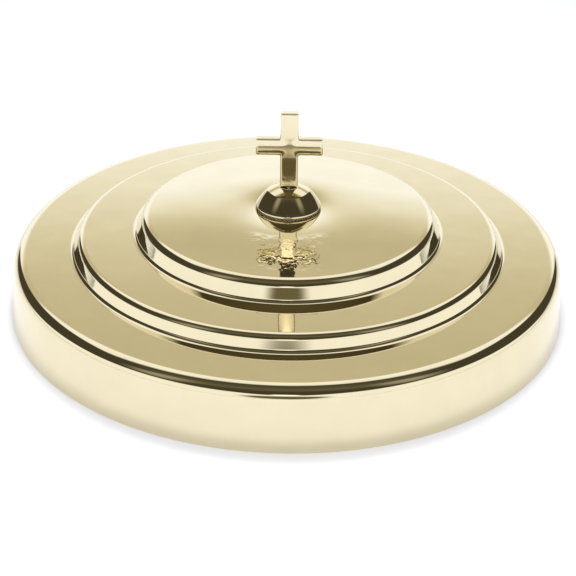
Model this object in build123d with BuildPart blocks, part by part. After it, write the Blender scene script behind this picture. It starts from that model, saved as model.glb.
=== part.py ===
from build123d import *
import os

# Cover for a round communion tray: one spun sheet in three tiers with a deep skirt, and a ball
# knob and a Latin cross held by one stud through the top. The cross faces -Y.
# Millimetres, +Z up. The origin is on the cover's axis, in the plane that the rim stands on.

os.makedirs("parts", exist_ok=True)

# Spun sheet
sheet = 0.8
rim_radius = 156.0
skirt_lean = 0.11           # radius lost per millimetre of height
hem_height = 6.0
hem_bore_radius = 153.0     # cylindrical inner face that slips over the tray's rim
hem_edge_round = 0.5

# Tiers: height of each flat, radius at the foot and at the top corner of each riser
lower_flat_z = 34.3
middle_flat_z = 42.3
middle_foot_radius = 120.2
middle_top_radius = 116.0
upper_foot_radius = 85.2
upper_top_radius = 80.4
skirt_corner_round = 7.5
middle_corner_round = 4.5
upper_corner_round = 6.0
tier_foot_round = 3.0

# Gently domed top with a flat seat for the knob
seat_z = 55.6
seat_radius = 17.0
dome_radius = 1000.0
dome_edge_radius = 74.5

# Fixing hardware, M4
stud_radius = 2.0
clearance_radius = 2.25
seat_washer_thickness = 0.5
seat_washer_radius = 16.6
backing_washer_thickness = 1.2
backing_washer_radius = 12.0
spring_washer_thickness = 1.0
spring_washer_radius = 3.8
spring_washer_gap = 0.6
nut_across_flats = 7.0
nut_hex_height = 3.2
nut_total_height = 8.0
nut_dome_radius = 3.2
nut_thread_depth = 6.4
nut_chamfer = 0.45

# Ball knob
knob_radius = 18.2
knob_band_height = 0.85
knob_shoulder_radius = 11.6
knob_shoulder_height = 9.6
knob_body_bulge = 0.3
knob_cap_bulge = 0.15
knob_height = 12.1
knob_edge_round = 0.4
foot_seat_radius = 5.6

# Latin cross
cross_top_z = 111.7
cross_thickness = 5.8
stem_width = 9.8
arm_height = 9.5
arm_span = 36.4
arm_centre_z = 92.2
cross_corner_round = 0.5
cross_edge_round = 1.6
cross_thread_depth = 10.0


def dome_z(radius):
    """Height of the domed top's outer face at a radius outside the knob seat."""
    return seat_z - (radius**2 - seat_radius**2) / (2 * dome_radius)


def ring(bottom_z, top_z, outer_radius, inner_radius):
    """Adds a flat ring to the part being built."""
    with BuildSketch(Plane.XY.offset(bottom_z)) as face:
        Circle(outer_radius)
        Circle(inner_radius, mode=Mode.SUBTRACT)
    extrude(face.sketch, amount=top_z - bottom_z)


# Cover shell: the sheet follows one outline, from the rim to the axis, and is turned in at the hem
upper_flat_z = dome_z(upper_top_radius)
skirt_top_radius = rim_radius - skirt_lean * lower_flat_z
hem_top_radius = rim_radius - skirt_lean * hem_height - sheet / 2

with BuildPart() as cover_shell:
    with BuildSketch(Plane.XZ):
        with BuildLine():
            FilletPolyline(
                (rim_radius, 0),
                (skirt_top_radius, lower_flat_z),
                (middle_foot_radius, lower_flat_z),
                (middle_top_radius, middle_flat_z),
                (upper_foot_radius, middle_flat_z),
                (upper_top_radius, upper_flat_z),
                (dome_edge_radius, dome_z(dome_edge_radius)),
                radius=[
                    skirt_corner_round,
                    tier_foot_round,
                    middle_corner_round,
                    tier_foot_round,
                    upper_corner_round,
                ],
            )
            dome = RadiusArc(
                (dome_edge_radius, dome_z(dome_edge_radius)),
                (seat_radius, seat_z),
                -dome_radius,
            )
            Line(dome @ 1, (0, seat_z))
            offset(amount=sheet, side=Side.LEFT)
        make_face()
    revolve(axis=Axis.Z)
    with BuildSketch(Plane.XZ):
        with BuildLine():
            Polyline(
                (rim_radius - sheet / 2, 0),
                (hem_top_radius, hem_height),
                (hem_bore_radius, hem_height),
                (hem_bore_radius, 0),
                close=True,
            )
        make_face()
    revolve(axis=Axis.Z)
    split(bisect_by=Plane.XY, keep=Keep.TOP)
    fillet(cover_shell.faces().sort_by(Axis.Z)[0].edges(), hem_edge_round)
    with Locations((0, 0, seat_z)):
        Hole(clearance_radius)
cover_shell.part.label = "cover_shell"
export_step(cover_shell.part, "parts/cover_shell.step")

# Seat washer: thin ring that keeps the knob off the polished dome
knob_base_z = seat_z + seat_washer_thickness

with BuildPart() as knob_seat_washer:
    ring(seat_z, knob_base_z, seat_washer_radius, clearance_radius)
knob_seat_washer.part.label = "knob_seat_washer"
export_step(knob_seat_washer.part, "parts/knob_seat_washer.step")

# Knob: a low ball with a narrow upright band at its base, a shoulder and a shallow cap, which
# has a flat for the foot of the cross
band_top = (knob_radius, knob_base_z + knob_band_height)
shoulder = (knob_shoulder_radius, knob_base_z + knob_shoulder_height)
foot_seat = (foot_seat_radius, knob_base_z + knob_height)


def bulged(start, end, bulge):
    """Middle point of an arc that stands outside the chord from start to end by bulge."""
    run = Vector(*end) - Vector(*start)
    outward = Vector(-run.Y, run.X).normalized()
    middle = (Vector(*start) + Vector(*end)) / 2 + outward * bulge
    return (middle.X, middle.Y)


with BuildPart() as knob:
    with BuildSketch(Plane.XZ):
        with BuildLine():
            Polyline(
                (clearance_radius, knob_base_z + knob_height),
                (clearance_radius, knob_base_z),
                (knob_radius - knob_edge_round, knob_base_z),
                (knob_radius, knob_base_z + knob_edge_round),
                band_top,
            )
            ThreePointArc(band_top, bulged(shoulder, band_top, knob_body_bulge), shoulder)
            ThreePointArc(shoulder, bulged(foot_seat, shoulder, knob_cap_bulge), foot_seat)
            Line(foot_seat, (clearance_radius, knob_base_z + knob_height))
        make_face()
    revolve(axis=Axis.Z)
knob.part.label = "knob"
export_step(knob.part, "parts/knob.step")

# Cross: one casting with rounded edges, crisp only round its foot, tapped from below
cross_foot_z = knob_base_z + knob_height
stem_height = cross_top_z - cross_foot_z

with BuildPart() as cross_finial:
    with BuildSketch(Plane.XZ) as cross_outline:
        with Locations((0, cross_foot_z + stem_height / 2)):
            Rectangle(stem_width, stem_height)
        with Locations((0, arm_centre_z)):
            Rectangle(arm_span, arm_height)
        foot_corners = cross_outline.vertices().group_by(Axis.Z)[0]
        fillet(cross_outline.vertices() - foot_corners, cross_corner_round)
    extrude(amount=cross_thickness / 2, both=True)
    face_edges = cross_finial.faces().sort_by(Axis.Y)[0].edges()
    face_edges += cross_finial.faces().sort_by(Axis.Y)[-1].edges()
    foot_edges = face_edges.group_by(Axis.Z)[0]
    fillet(face_edges - foot_edges, cross_edge_round)
    with BuildSketch(Plane.XY.offset(cross_foot_z)):
        Circle(stud_radius)
    extrude(amount=cross_thread_depth, mode=Mode.SUBTRACT)
cross_finial.part.label = "cross_finial"
export_step(cross_finial.part, "parts/cross_finial.step")

# Hardware under the dome, from the sheet downwards
dome_inside_z = seat_z - sheet
spring_washer_top_z = dome_inside_z - backing_washer_thickness
nut_top_z = spring_washer_top_z - spring_washer_thickness

with BuildPart() as backing_washer:
    ring(spring_washer_top_z, dome_inside_z, backing_washer_radius, clearance_radius)
backing_washer.part.label = "backing_washer"
export_step(backing_washer.part, "parts/backing_washer.step")

with BuildPart() as spring_washer:
    ring(nut_top_z, spring_washer_top_z, spring_washer_radius, clearance_radius)
    with Locations((spring_washer_radius, 0, (nut_top_z + spring_washer_top_z) / 2)):
        Box(
            2 * spring_washer_radius,
            spring_washer_gap,
            3 * spring_washer_thickness,
            rotation=(35, 0, 0),
            mode=Mode.SUBTRACT,
        )
spring_washer.part.label = "spring_washer"
export_step(spring_washer.part, "parts/spring_washer.step")

# Cap nut: chamfered hexagon with a domed blind end
nut_corner_radius = nut_across_flats / 3**0.5
nut_hex_bottom_z = nut_top_z - nut_hex_height
nut_bottom_z = nut_top_z - nut_total_height

with BuildPart() as cap_nut:
    with BuildSketch(Plane.XY.offset(nut_hex_bottom_z)):
        RegularPolygon(nut_across_flats / 2, 6, major_radius=False)
    extrude(amount=nut_hex_height)
    with BuildSketch(Plane.XZ):
        with BuildLine():
            Polyline(
                (0, nut_hex_bottom_z),
                (nut_across_flats / 2, nut_hex_bottom_z),
                (nut_corner_radius, nut_hex_bottom_z + nut_chamfer),
                (nut_corner_radius, nut_top_z - nut_chamfer),
                (nut_across_flats / 2, nut_top_z),
                (0, nut_top_z),
                close=True,
            )
        make_face()
    revolve(axis=Axis.Z, mode=Mode.INTERSECT)
    with BuildSketch(Plane.XZ):
        with BuildLine():
            Polyline(
                (0, nut_bottom_z),
                (0, nut_hex_bottom_z),
                (nut_dome_radius, nut_hex_bottom_z),
                (nut_dome_radius, nut_bottom_z + nut_dome_radius),
            )
            RadiusArc(
                (nut_dome_radius, nut_bottom_z + nut_dome_radius),
                (0, nut_bottom_z),
                nut_dome_radius,
            )
        make_face()
    revolve(axis=Axis.Z)
    with BuildSketch(Plane.XY.offset(nut_top_z)):
        Circle(stud_radius)
    extrude(amount=-nut_thread_depth, mode=Mode.SUBTRACT)
cap_nut.part.label = "cap_nut"
export_step(cap_nut.part, "parts/cap_nut.step")

# Stud: from near the end of the thread in the cross to near the end of the thread in the nut
stud_end_gap = 0.8
stud_chamfer = 0.4
stud_top_z = cross_foot_z + cross_thread_depth - stud_end_gap
stud_bottom_z = nut_top_z - nut_thread_depth + stud_end_gap

with BuildPart() as centre_stud:
    with BuildSketch(Plane.XY.offset(stud_bottom_z)):
        Circle(stud_radius)
    extrude(amount=stud_top_z - stud_bottom_z)
    chamfer(centre_stud.edges().filter_by(GeomType.CIRCLE), stud_chamfer)
centre_stud.part.label = "centre_stud"
export_step(centre_stud.part, "parts/centre_stud.step")
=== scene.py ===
"""Looks of a tiered communion tray cover. Metres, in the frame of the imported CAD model."""

import itertools
import math

import bmesh
import bpy
from mathutils import Matrix, Vector


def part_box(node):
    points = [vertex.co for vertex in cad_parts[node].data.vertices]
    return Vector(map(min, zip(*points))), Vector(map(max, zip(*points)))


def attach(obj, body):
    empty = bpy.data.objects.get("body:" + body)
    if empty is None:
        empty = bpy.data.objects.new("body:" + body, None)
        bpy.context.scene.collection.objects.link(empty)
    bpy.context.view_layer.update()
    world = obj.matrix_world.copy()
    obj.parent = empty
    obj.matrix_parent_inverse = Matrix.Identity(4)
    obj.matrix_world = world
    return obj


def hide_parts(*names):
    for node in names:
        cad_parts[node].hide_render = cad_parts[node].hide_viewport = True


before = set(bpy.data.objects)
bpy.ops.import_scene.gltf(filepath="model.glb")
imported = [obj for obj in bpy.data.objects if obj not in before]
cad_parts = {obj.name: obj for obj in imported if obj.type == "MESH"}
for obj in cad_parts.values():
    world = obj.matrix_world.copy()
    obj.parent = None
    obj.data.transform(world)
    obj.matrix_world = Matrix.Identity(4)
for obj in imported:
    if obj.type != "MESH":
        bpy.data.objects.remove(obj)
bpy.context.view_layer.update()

MM = 0.001

# Sizes that the CAD model is driven by, in millimetres
SHEET = 0.8
RIM_RADIUS = 156.0
SKIRT_LEAN = 0.11
HEM_HEIGHT = 6.0
HEM_BORE = 153.0
LOWER_FLAT = 34.3
MIDDLE_FLAT = 42.3
MIDDLE_FOOT = 120.2
MIDDLE_TOP = 116.0
UPPER_FOOT = 85.2
UPPER_TOP = 80.4
SKIRT_ROUND = 7.5
MIDDLE_ROUND = 4.5
UPPER_ROUND = 6.0
FOOT_ROUND = 3.0
SEAT_Z = 55.6
SEAT_RADIUS = 17.0
DOME_RADIUS = 1000.0
DOME_EDGE = 74.5
HEM_EDGE = 0.5
CLEARANCE = 2.25
SEAT_WASHER = 0.5
KNOB_BASE = SEAT_Z + SEAT_WASHER
KNOB_RADIUS = 18.2
KNOB_BAND = 0.85
KNOB_SHOULDER = (11.6, 9.6)  # radius, and height above the knob's base
KNOB_BODY_BULGE = 0.3
KNOB_CAP_BULGE = 0.15
KNOB_EDGE = 0.4
KNOB_HEIGHT = 12.1
FOOT_SEAT = 5.6
STEM_WIDTH = 9.8
ARM_CENTRE = 92.2
ARM_HEIGHT = 9.5


# ---------------------------------------------------------------- camera

CAMERA_DISTANCE = 0.800
CAMERA_ELEVATION = math.radians(29.53)
CAMERA_ROLL = math.radians(1.0)
CAMERA_TARGET = Vector((0.0006, 0.0, 0.0031))
CAMERA_LENS = 86.8


def make_camera():
    data = bpy.data.cameras.new("camera")
    data.lens = CAMERA_LENS
    data.sensor_width = 36.0
    camera = bpy.data.objects.new("camera", data)
    bpy.context.scene.collection.objects.link(camera)
    back = Vector((0.0, -math.cos(CAMERA_ELEVATION), math.sin(CAMERA_ELEVATION)))
    turn = (-back).to_track_quat("-Z", "Y").to_matrix().to_4x4()
    roll = Matrix.Rotation(CAMERA_ROLL, 4, "Z")
    camera.matrix_world = Matrix.Translation(CAMERA_TARGET + back * CAMERA_DISTANCE) @ turn @ roll
    bpy.context.scene.camera = camera


make_camera()


# ---------------------------------------------------------------- lathe

def rounded_path(points, radii, step=math.radians(4.0), support=0.25):
    """Points along a polyline whose corners are arcs, with the outward normal of each point.

    Two points, one at each end of an arc and one a little way out on the straight run, keep the
    shading of the run flat. radii has one radius for each inner corner.
    """
    path = []

    def add(point, normal):
        path.append((point, normal))

    def left(direction):
        return Vector((-direction.y, direction.x))

    corners = [Vector(p) for p in points]
    add(corners[0], -left((corners[1] - corners[0]).normalized()))
    for before, corner, after, radius in zip(corners, corners[1:], corners[2:], radii):
        way_in = (corner - before).normalized()
        way_out = (after - corner).normalized()
        turn = way_in.angle_signed(way_out)
        reach = radius * math.tan(abs(turn) / 2)
        side = -1.0 if turn > 0 else 1.0
        centre = corner - way_in * reach + left(way_in) * radius * side
        add(corner - way_in * (reach + support), -left(way_in))
        count = max(3, math.ceil(abs(turn) / step))
        for k in range(count + 1):
            angle = -turn * k / count
            heading = Matrix.Rotation(angle, 2) @ way_in
            add(centre - left(heading) * radius * side, -left(heading))
        add(corner + way_out * (reach + support), -left(way_out))
    add(corners[-1], -left((corners[-1] - corners[-2]).normalized()))
    return path


def lathe(name, loop, segments, materials=(), material_of=None):
    """A closed ring of revolution about Z from a closed loop of (radius, height) in millimetres."""
    mesh = bpy.data.meshes.new(name)
    verts = []
    for k in range(segments):
        angle = 2 * math.pi * k / segments
        c, s = math.cos(angle) * MM, math.sin(angle) * MM
        verts += [(r * c, r * s, z * MM) for r, z in loop]
    n = len(loop)
    faces, slots = [], []
    for k in range(segments):
        a, b = k * n, ((k + 1) % segments) * n
        for i in range(n):
            j = (i + 1) % n
            faces.append((a + i, b + i, b + j, a + j))
            slots.append(material_of(i) if material_of else 0)
    mesh.from_pydata(verts, [], faces)
    for material in materials:
        mesh.materials.append(material)
    mesh.polygons.foreach_set("material_index", slots)
    mesh.polygons.foreach_set("use_smooth", [True] * len(faces))
    mesh.update()
    piece = bpy.data.objects.new(name, mesh)
    bpy.context.scene.collection.objects.link(piece)
    return piece


# ---------------------------------------------------------------- materials

def new_material(name):
    material = bpy.data.materials.new(name)
    material.use_nodes = True
    tree = material.node_tree
    return material, tree, tree.nodes["Principled BSDF"]


class Graph:
    """Short calls that add nodes to a node tree. A value can be a number or another node's socket."""

    TOP = 2.0  # the brightest level that a ramp can hold

    def __init__(self, tree):
        self.nodes, self.links = tree.nodes, tree.links

    def feed(self, socket, value):
        if isinstance(value, bpy.types.NodeSocket):
            self.links.new(value, socket)
        else:
            socket.default_value = value

    def math(self, operation, *values, clamp=False):
        node = self.nodes.new("ShaderNodeMath")
        node.operation = operation
        node.use_clamp = clamp
        for socket, value in zip(node.inputs, values):
            self.feed(socket, value)
        return node.outputs[0]

    def smooth(self, value, low, high):
        """0 below low and 1 above high, or the other way round when low is the larger."""
        node = self.nodes.new("ShaderNodeMapRange")
        node.interpolation_type = "SMOOTHSTEP"
        self.feed(node.inputs["Value"], value)
        if low < high:
            ends = (low, high, 0.0, 1.0)
        else:
            ends = (high, low, 1.0, 0.0)
        for name, end in zip(("From Min", "From Max", "To Min", "To Max"), ends):
            node.inputs[name].default_value = end
        return node.outputs["Result"]

    def ramp(self, value, low, high, stops):
        """A colour ramp over value from low to high, with stops of (place, colour)."""
        share = self.nodes.new("ShaderNodeMapRange")
        self.feed(share.inputs["Value"], value)
        share.inputs["From Min"].default_value = low
        share.inputs["From Max"].default_value = high
        node = self.nodes.new("ShaderNodeValToRGB")
        elements = node.color_ramp.elements
        while len(elements) < len(stops):
            elements.new(0.5)
        for element, (place, colour) in zip(elements, stops):
            element.position = (place - low) / (high - low)
            element.color = (*(level / self.TOP for level in colour), 1.0)
        self.links.new(share.outputs["Result"], node.inputs[0])
        return self.scale(node.outputs["Color"], self.TOP)

    def scale(self, colour, factor):
        node = self.nodes.new("ShaderNodeVectorMath")
        node.operation = "SCALE"
        self.feed(node.inputs[0], colour)
        node.inputs["Scale"].default_value = factor
        return node.outputs[0]

    def noise(self, place, scale, detail):
        node = self.nodes.new("ShaderNodeTexNoise")
        self.feed(node.inputs["Vector"], place)
        node.inputs["Scale"].default_value = scale
        node.inputs["Detail"].default_value = detail
        return node.outputs[0]

    def mix(self, share, first, second):
        node = self.nodes.new("ShaderNodeMix")
        node.data_type = "RGBA"
        self.feed(node.inputs[0], share)
        self.feed(node.inputs[6], first)
        self.feed(node.inputs[7], second)
        return node.outputs[2]


PULL_DEPTH = 1.2e-3  # how far the clamped knob pulls the sheet down at its edge
PULL_REACH = 0.010   # distance over which the pull falls to about a third


def dents(graph, place, x, y, radius, depth):
    """Relief of the sheet round the knob: pulled down all round, and dented in front."""
    ring = graph.math("MULTIPLY", graph.smooth(radius, 0.034, 0.041), graph.smooth(radius, 0.076, 0.064))
    across = graph.smooth(graph.math("ABSOLUTE", x), 0.025, 0.015)
    front = graph.math("MULTIPLY", graph.smooth(y, -0.025, -0.036), across)
    patch = graph.math("MULTIPLY", ring, front)
    ripples = graph.math("MULTIPLY", graph.noise(place, 230.0, 1.5), patch)
    from_knob = graph.math("SUBTRACT", 0.018, radius)
    pull = graph.math("EXPONENT", graph.math("DIVIDE", from_knob, PULL_REACH))
    ripples = graph.math("MULTIPLY", ripples, depth)
    return graph.math("SUBTRACT", ripples, graph.math("MULTIPLY", pull, PULL_DEPTH))


def spun_metal(name, colour, roughness, spread, ring_depth, wave_depth, dent_depth=0.0, blotch=0.03):
    """Metal turned about Z and then polished. The depths are in metres.

    Fine rings follow the turning and broad waves come from the buffing wheel. With a dent_depth,
    the metal also has the dents of the sheet round the knob.
    """
    material, tree, shader = new_material(name)
    graph = Graph(tree)
    place = graph.nodes.new("ShaderNodeTexCoord").outputs["Object"]
    split = graph.nodes.new("ShaderNodeSeparateXYZ")
    graph.links.new(place, split.inputs[0])
    x, y, z = split.outputs
    square = graph.math("ADD", graph.math("MULTIPLY", x, x), graph.math("MULTIPLY", y, y))
    radius = graph.math("SQRT", square)
    turned = graph.nodes.new("ShaderNodeCombineXYZ")
    graph.links.new(radius, turned.inputs[0])
    graph.links.new(graph.math("MULTIPLY", x, 0.012), turned.inputs[1])
    graph.links.new(z, turned.inputs[2])

    rings = graph.noise(turned.outputs[0], 900.0, 4.0)
    waves = graph.noise(place, 22.0, 2.0)
    smears = graph.noise(place, 60.0, 5.0)
    tone = graph.smooth(smears, 0.30, 0.70)
    shader.inputs["Metallic"].default_value = 1.0
    darker = tuple(level * (1.0 - blotch) for level in colour)
    graph.feed(shader.inputs["Base Color"], graph.mix(tone, (*colour, 1.0), (*darker, 1.0)))
    wear = graph.math("ADD", graph.math("MULTIPLY", rings, 0.6), graph.math("MULTIPLY", smears, 0.4))
    node = graph.nodes.new("ShaderNodeMapRange")
    graph.feed(node.inputs["Value"], wear)
    node.inputs["From Min"].default_value = 0.35
    node.inputs["From Max"].default_value = 0.65
    node.inputs["To Min"].default_value = roughness - spread
    node.inputs["To Max"].default_value = roughness + spread
    graph.feed(shader.inputs["Roughness"], node.outputs["Result"])
    height = graph.math("MULTIPLY", rings, ring_depth)
    height = graph.math("ADD", height, graph.math("MULTIPLY", waves, wave_depth))
    if dent_depth:
        height = graph.math("ADD", height, dents(graph, place, x, y, radius, dent_depth))
    bump = graph.nodes.new("ShaderNodeBump")
    bump.inputs["Distance"].default_value = 1.0
    graph.feed(bump.inputs["Height"], height)
    graph.links.new(bump.outputs["Normal"], shader.inputs["Normal"])
    return material


BRASS = (0.78, 0.705, 0.49)
KNOB_BRASS = (0.78, 0.69, 0.46)
sheet_brass = spun_metal("polished_sheet", BRASS, 0.045, 0.02, 1.0e-7, 1.2e-4, 2.2e-4)
inside_brass = spun_metal("satin_inside", BRASS, 0.26, 0.07, 2.5e-6, 1.0e-4, blotch=0.10)
knob_brass = spun_metal("polished_knob", KNOB_BRASS, 0.06, 0.02, 2.0e-7, 4.0e-5)
cross_brass = spun_metal("polished_cross", BRASS, 0.06, 0.02, 1.0e-7, 4.0e-5)


# ---------------------------------------------------------------- cover shell

def dome_height(radius):
    return SEAT_Z - (radius**2 - SEAT_RADIUS**2) / (2 * DOME_RADIUS)


def make_cover_shell():
    outline = [
        (RIM_RADIUS, 0.0),
        (RIM_RADIUS - SKIRT_LEAN * LOWER_FLAT, LOWER_FLAT),
        (MIDDLE_FOOT, LOWER_FLAT),
        (MIDDLE_TOP, MIDDLE_FLAT),
        (UPPER_FOOT, MIDDLE_FLAT),
        (UPPER_TOP, dome_height(UPPER_TOP)),
        (DOME_EDGE, dome_height(DOME_EDGE)),
    ]
    radii = [SKIRT_ROUND, FOOT_ROUND, MIDDLE_ROUND, FOOT_ROUND, UPPER_ROUND]
    path = rounded_path(outline, radii)[1:]
    steps = 20
    for k in range(1, steps + 1):
        r = DOME_EDGE + (SEAT_RADIUS - DOME_EDGE) * k / steps
        slope = r / DOME_RADIUS
        path.append((Vector((r, dome_height(r))), Vector((math.sin(slope), math.cos(slope)))))
    path.append((Vector((SEAT_RADIUS - 0.3, SEAT_Z)), Vector((0.0, 1.0))))
    path.append((Vector((CLEARANCE, SEAT_Z)), Vector((0.0, 1.0))))
    outer = [p for p, n in path]
    inner = [p - n * SHEET for p, n in path]
    lean_at = RIM_RADIUS - SKIRT_LEAN * HEM_HEIGHT
    hem_in = [
        Vector((lean_at - SHEET * 1.05, HEM_HEIGHT + 0.15)),
        Vector((lean_at - SHEET * 1.2, HEM_HEIGHT)),
        Vector((HEM_BORE + HEM_EDGE, HEM_HEIGHT)),
        Vector((HEM_BORE + 0.15, HEM_HEIGHT - 0.15)),
        Vector((HEM_BORE, HEM_HEIGHT - HEM_EDGE)),
        Vector((HEM_BORE, 0.7)),
    ]
    round_in = [(HEM_BORE + HEM_EDGE - HEM_EDGE * math.cos(a), HEM_EDGE - HEM_EDGE * math.sin(a))
                for a in (0.0, 0.26, 0.52, 0.79, 1.05, 1.31, 1.57)]
    round_centre = RIM_RADIUS - HEM_EDGE - SKIRT_LEAN * HEM_EDGE
    round_out = [(round_centre + HEM_EDGE * math.sin(a), HEM_EDGE - HEM_EDGE * math.cos(a))
                 for a in (0.0, 0.26, 0.52, 0.79, 1.05, 1.31, 1.5)]
    inner_back = [p for p in reversed(inner) if p.y > HEM_HEIGHT + HEM_EDGE]
    loop = [tuple(p) for p in outer] + [tuple(p) for p in inner_back]
    loop += [tuple(p) for p in hem_in] + round_in + round_out
    inside_from = len(outer)
    inside_to = inside_from + len(inner_back) + len(hem_in)
    piece = lathe("cover_shell_spun", loop, 360, [sheet_brass, inside_brass],
                  lambda i: 1 if inside_from <= i < inside_to else 0)
    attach(piece, "root")
    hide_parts("cover_shell")


make_cover_shell()


# ---------------------------------------------------------------- knob

def arc_through(start, end, bulge, count):
    """Points of the arc from start to end that stands off its chord by bulge, to the right."""
    start, end = Vector(start), Vector(end)
    chord = end - start
    radius = (chord.length**2 / 4 + bulge**2) / (2 * bulge)
    outward = Vector((chord.y, -chord.x)).normalized()
    centre = (start + end) / 2 - outward * (radius - bulge)
    begin = math.atan2(start.y - centre.y, start.x - centre.x)
    finish = math.atan2(end.y - centre.y, end.x - centre.x)
    angles = [begin + (finish - begin) * k / count for k in range(count + 1)]
    return [centre + Vector((math.cos(a), math.sin(a))) * radius for a in angles]


def make_knob():
    base = KNOB_BASE
    band = Vector((KNOB_RADIUS, base + KNOB_BAND))
    shoulder = Vector((KNOB_SHOULDER[0], base + KNOB_SHOULDER[1]))
    seat = Vector((FOOT_SEAT, base + KNOB_HEIGHT))
    edge = KNOB_EDGE
    loop = [(CLEARANCE, base), (CLEARANCE + 0.3, base), (KNOB_RADIUS - edge - 0.3, base)]
    loop += [(KNOB_RADIUS - edge + edge * math.sin(a), base + edge - edge * math.cos(a))
             for a in (0.0, 0.39, 0.79, 1.18, 1.57)]
    loop += [tuple(p) for p in arc_through(band, shoulder, KNOB_BODY_BULGE, 24)]
    loop += [tuple(p) for p in arc_through(shoulder, seat, KNOB_CAP_BULGE, 12)[1:]]
    loop += [(FOOT_SEAT - 0.3, base + KNOB_HEIGHT), (CLEARANCE, base + KNOB_HEIGHT)]
    piece = lathe("knob_turned", loop, 192, [knob_brass])
    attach(piece, "root")
    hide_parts("knob")


make_knob()


# ---------------------------------------------------------------- cross

def make_cross():
    """The cross as a box mesh with lines near its edges, which a subdivision rounds off."""
    low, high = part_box("cross_finial")
    half_thick = (high.y - low.y) / 2
    half_stem = STEM_WIDTH / 2 * MM
    half_span = (high.x - low.x) / 2
    arm_low = (ARM_CENTRE - ARM_HEIGHT / 2) * MM
    arm_high = (ARM_CENTRE + ARM_HEIGHT / 2) * MM
    arm_middle = (arm_low + arm_high) / 2
    edge = 1.5 * MM
    pillow = 0.22 * MM
    xs = [-half_span, -half_span + edge, -half_stem - edge, -half_stem, -half_stem + edge, 0.0,
          half_stem - edge, half_stem, half_stem + edge, half_span - edge, half_span]
    zs = [low.z, low.z + edge, arm_low - edge, arm_low, arm_low + edge, arm_middle,
          arm_high - edge, arm_high, arm_high + edge, high.z - edge, high.z]
    ys = [-half_thick, -half_thick + edge, half_thick - edge, half_thick]
    mesh_data = bmesh.new()
    made = {}

    def vert(i, j, k):
        """The corner at a place in the grid. The faces are crowned: lower towards their edges."""
        if (i, j, k) not in made:
            in_stem = min(1.0, max(0.0, (half_stem - abs(xs[i])) / half_stem))
            in_arms = min(1.0, max(0.0, 1.0 - abs(zs[k] - arm_middle) / (arm_high - arm_middle)))
            drop = pillow * (1.0 - max(in_stem, in_arms)) ** 2
            made[i, j, k] = mesh_data.verts.new((xs[i], ys[j] - math.copysign(drop, ys[j]), zs[k]))
        return made[i, j, k]

    def solid(i, j, k):
        if not (0 <= i < len(xs) - 1 and 0 <= j < len(ys) - 1 and 0 <= k < len(zs) - 1):
            return False
        x = (xs[i] + xs[i + 1]) / 2
        z = (zs[k] + zs[k + 1]) / 2
        return abs(x) < half_stem or arm_low < z < arm_high

    around = ((0, 0), (1, 0), (1, 1), (0, 1))
    for cell in itertools.product(range(len(xs) - 1), range(len(ys) - 1), range(len(zs) - 1)):
        if not solid(*cell):
            continue
        for axis, side in itertools.product(range(3), (0, 1)):
            beyond = list(cell)
            beyond[axis] += 1 if side else -1
            if solid(*beyond):
                continue
            corners = []
            for u, v in around:
                corner = list(cell)
                corner[axis] += side
                corner[(axis + 1) % 3] += u
                corner[(axis + 2) % 3] += v
                corners.append(vert(*corner))
            mesh_data.faces.new(corners)
    bmesh.ops.recalc_face_normals(mesh_data, faces=mesh_data.faces)
    mesh = bpy.data.meshes.new("cross_cast")
    mesh_data.to_mesh(mesh)
    mesh_data.free()
    mesh.polygons.foreach_set("use_smooth", [True] * len(mesh.polygons))
    piece = bpy.data.objects.new("cross_cast", mesh)
    bpy.context.scene.collection.objects.link(piece)
    mesh.materials.append(cross_brass)
    subdivide = piece.modifiers.new("round", "SUBSURF")
    subdivide.levels = 3
    subdivide.render_levels = 3
    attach(piece, "root")
    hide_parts("cross_finial")


make_cross()


# ---------------------------------------------------------------- hardware

def hardware_material(name, colour, metallic, roughness):
    material, tree, shader = new_material(name)
    shader.inputs["Base Color"].default_value = (*colour, 1.0)
    shader.inputs["Metallic"].default_value = metallic
    shader.inputs["Roughness"].default_value = roughness
    return material


zinc = hardware_material("zinc_plate", (0.70, 0.71, 0.72), 1.0, 0.3)
nut_brass = hardware_material("nut_brass", (0.86, 0.70, 0.38), 1.0, 0.2)
nylon = hardware_material("nylon", (0.85, 0.83, 0.76), 0.0, 0.4)
for node, material in {"centre_stud": zinc, "backing_washer": zinc, "spring_washer": zinc,
                       "cap_nut": nut_brass, "knob_seat_washer": nylon}.items():
    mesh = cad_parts[node].data
    mesh.materials.clear()
    mesh.materials.append(material)


# ---------------------------------------------------------------- studio

def make_floor():
    mesh = bpy.data.meshes.new("floor")
    size = 4.0
    corners = [(-size, -size, 0), (size, -size, 0), (size, size, 0), (-size, size, 0)]
    mesh.from_pydata(corners, [], [(0, 1, 2, 3)])
    floor = bpy.data.objects.new("floor", mesh)
    bpy.context.scene.collection.objects.link(floor)
    material, tree, shader = new_material("floor")
    shader.inputs["Base Color"].default_value = (0.89, 0.90, 0.95, 1.0)
    shader.inputs["Roughness"].default_value = 0.9
    shader.inputs["Specular IOR Level"].default_value = 0.0
    mesh.materials.append(material)


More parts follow.
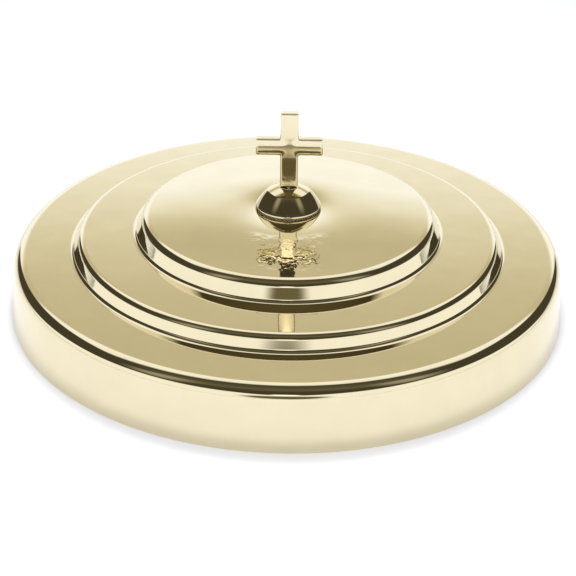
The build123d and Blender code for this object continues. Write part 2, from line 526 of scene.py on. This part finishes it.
def make_world():
    """The studio as the metal sees it, by direction.

    A white wall stands behind the object and is curved up over it, as far as 34 degrees to each
    side. The front of the room is bright up to the soft boxes' height. The rest is dark.
    """
    world = bpy.data.worlds.new("studio")
    bpy.context.scene.world = world
    world.use_nodes = True
    graph = Graph(world.node_tree)
    direction = graph.nodes.new("ShaderNodeTexCoord")
    split = graph.nodes.new("ShaderNodeSeparateXYZ")
    graph.links.new(direction.outputs["Generated"], split.inputs[0])
    x, y, z = split.outputs
    degrees = math.degrees(1.0)
    side = graph.math("MULTIPLY", graph.math("ARCTAN2", graph.math("ABSOLUTE", x), y), degrees)
    over = graph.math("MULTIPLY", graph.math("ARCTAN2", z, y), degrees)
    height = graph.math("MULTIPLY", graph.math("ARCSINE", z), degrees)
    aside = graph.math("MULTIPLY_ADD", graph.math("ABSOLUTE", x), 0.2, 0.45)
    forward = graph.math("SUBTRACT", aside, y)
    front_angle = graph.math("MULTIPLY", graph.math("ARCTAN2", z, forward), degrees)

    white = (1.22, 1.24, 1.30)
    dark = (0.070, 0.060, 0.038)
    wall = graph.ramp(over, 0.0, 180.0, [
        (0.0, white), (22.0, (1.25, 1.28, 1.40)), (25.5, (1.05, 1.04, 0.98)),
        (27.5, (0.88, 0.84, 0.70)), (29.5, (0.745, 0.69, 0.53)), (32.0, (0.68, 0.625, 0.47)),
        (39.0, (0.72, 0.66, 0.50)), (43.0, white), (68.0, (1.15, 1.15, 1.15)), (76.0, dark),
        (98.0, (0.12, 0.105, 0.062)), (110.0, (0.16, 0.14, 0.09)), (125.0, dark), (180.0, dark)])
    sides = graph.ramp(height, -10.0, 90.0, [
        (-10.0, white), (1.0, (0.95, 0.95, 0.92)), (5.0, dark), (90.0, dark)])
    lean = graph.math("ARCSINE", graph.math("ABSOLUTE", x))
    lean = graph.math("MULTIPLY", lean, degrees)
    wall_share = graph.smooth(lean, 34.5, 30.5)
    room = graph.mix(wall_share, sides, wall)
    front_share = graph.smooth(front_angle, 25.0, 21.5)
    front_side = graph.smooth(side, 58.0, 68.0)
    front = graph.math("MULTIPLY", front_share, front_side)
    room = graph.mix(front, room, (1.20, 1.20, 1.22, 1.0))

    def patch(colour, centre, half_width, half_height, soft, aside=0.0):
        """Lays an oval of one colour over the front of the room, centred at a height in degrees.

        With aside, there are two ovals, that many degrees to each side of the front.
        """
        turn = graph.math("DIVIDE", graph.math("SUBTRACT", 180.0 - aside, side), half_width)
        rise = graph.math("DIVIDE", graph.math("SUBTRACT", height, centre), half_height)
        square = graph.math("ADD", graph.math("POWER", turn, 2.0), graph.math("POWER", rise, 2.0))
        off = graph.math("SQRT", square)
        share = graph.smooth(off, 1.0 + soft, 1.0 - soft)
        return graph.mix(share, room, (*colour, 1.0))

    # The dark shapes of the camera and of its stand below it, and a small lamp between them
    room = patch(dark, 38.0, 24.0, 6.5, 0.12)
    room = patch((0.17, 0.15, 0.09), 14.0, 16.5, 10.5, 0.25)
    room = patch((1.9, 1.9, 1.9), 33.2, 6.0, 2.5, 0.3)
    # A window with drawn blinds on each side, which shows as a soft stripe on the knob
    room = patch((0.42, 0.39, 0.31), 49.0, 11.0, 12.0, 0.8, aside=62.0)
    graph.links.new(room, graph.nodes["Background"].inputs["Color"])
    graph.nodes["Background"].inputs["Strength"].default_value = 1.0


def make_lamp(name, place, aim, size, power):
    """A soft lamp that lights the floor but isn't mirrored in the metal."""
    data = bpy.data.lights.new(name, "AREA")
    data.shape = "DISK"
    data.size = size
    data.energy = power
    lamp = bpy.data.objects.new(name, data)
    lamp.location = place
    lamp.rotation_euler = (Vector(aim) - Vector(place)).to_track_quat("-Z", "Y").to_euler()
    lamp.visible_glossy = False
    lamp.visible_camera = False
    bpy.context.scene.collection.objects.link(lamp)


make_floor()
make_world()
make_lamp("back_lamp", (0.0, 0.42, 1.6), (0.0, 0.0, 0.0), 0.5, 10.5)
make_lamp("front_lamp", (0.0, -0.9, 1.4), (0.0, 0.0, 0.0), 1.6, 20.5)
bpy.context.scene.view_settings.view_transform = "Standard"
